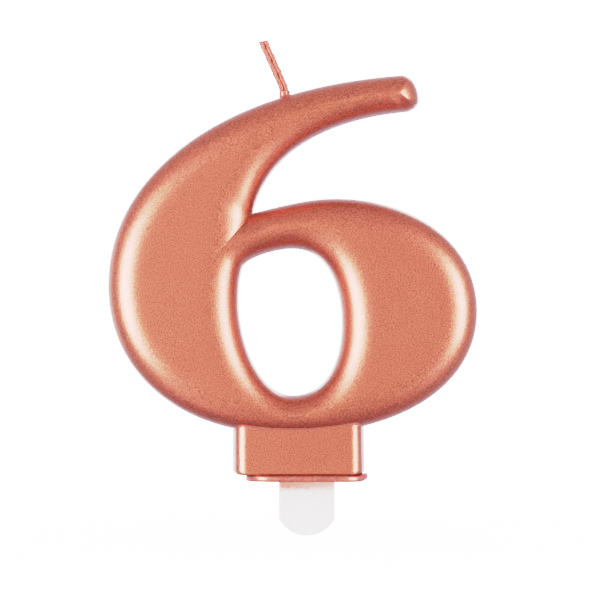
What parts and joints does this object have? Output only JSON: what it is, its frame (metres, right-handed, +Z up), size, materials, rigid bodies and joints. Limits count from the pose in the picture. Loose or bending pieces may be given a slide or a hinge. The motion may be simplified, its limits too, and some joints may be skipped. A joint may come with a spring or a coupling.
{
  "type": "number birthday candle",
  "caption": "Puffed numeral-six cake candle with a metallic lacquer finish, a rectangular base block, a flat plastic cake pick and a short plaited wick.",
  "frame": {"origin": "centre of the underside of the pick's flange, where the candle rests on the cake", "axes": "+Z up towards the wick, +X to the right of the numeral as it is read, and the numeral's front looks along -Y"},
  "size_m": [0.0617, 0.012, 0.0829],
  "materials": {
    "copper_lacquer": "satin",
    "clear_plastic": "satin",
    "waxed_cotton": "satin",
    "lacquered_wick": "satin"
  },
  "bodies": {
    "candle": {"numeral": "copper_lacquer", "base_block": "copper_lacquer", "pick": "clear_plastic", "wick_stem": "waxed_cotton", "wick_collar": "copper_lacquer"},
    "wick": {"wick": "lacquered_wick"}
  },
  "joints": [
    {"name": "wick_bend", "type": "hinge", "parent": "candle", "child": "wick", "pos_m": [-0.00393, 0, 0.06578], "axis": [0, 1, 0], "range_deg": [-35, 60]}
  ]
}
